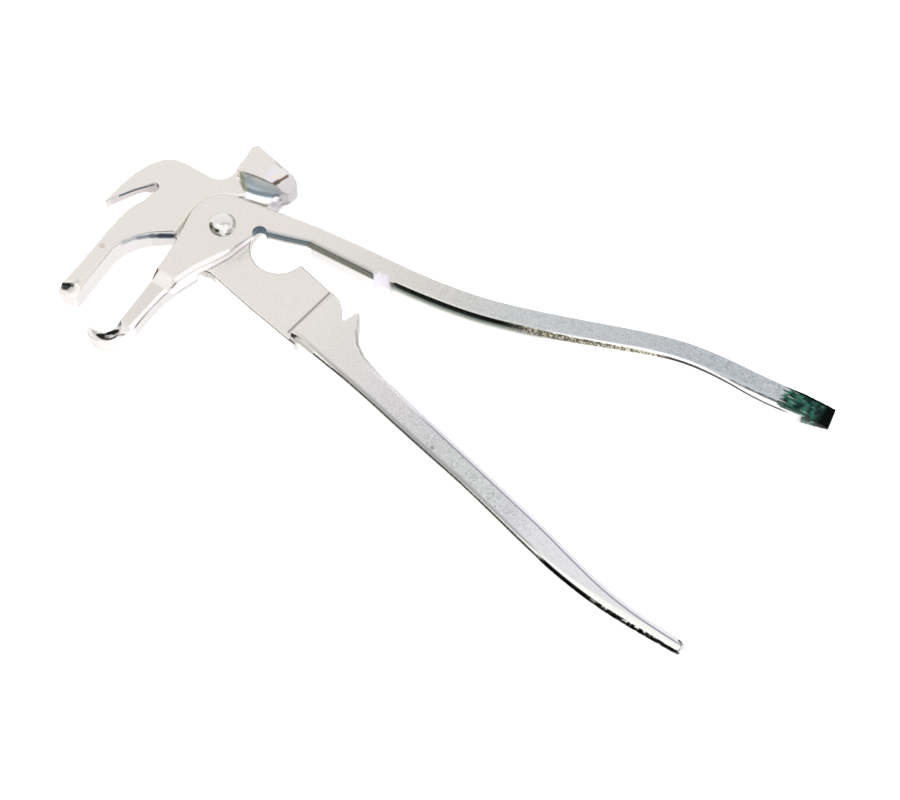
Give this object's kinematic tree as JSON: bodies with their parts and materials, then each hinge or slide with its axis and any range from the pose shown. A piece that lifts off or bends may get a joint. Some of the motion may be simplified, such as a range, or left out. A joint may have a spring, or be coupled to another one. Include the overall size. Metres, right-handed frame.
{
  "type": "wheel weight pliers",
  "caption": "Forged pliers with hooked jaws, a hammer head, a prying claw and a side cutter, for fitting and removing balance weights on wheel rims.",
  "frame": {"origin": "on the rivet's axis, in the plane that the tool lies on", "axes": "+X from the jaws to the handles, +Y towards the hammer head, +Z along the rivet, up through the joint to its domed head"},
  "size_m": [0.2478, 0.1076, 0.014],
  "materials": {
    "plated_steel_back": "satin nickel-like plating over a forged surface, slightly grainy on the handle",
    "plated_steel_front": "satin nickel-like plating over a forged surface, darker bare grinding on the wedge tip",
    "polished_rivet": "polished domed head"
  },
  "bodies": {
    "back": {"back_lever": "plated_steel_back", "pivot_rivet": "polished_rivet"},
    "front": {"front_lever": "plated_steel_front"}
  },
  "joints": [
    {"name": "pivot", "type": "hinge", "parent": "back", "child": "front", "pos_m": [0, 0, 0], "axis": [0, 0, 1], "range_deg": [-12, 14]}
  ]
}
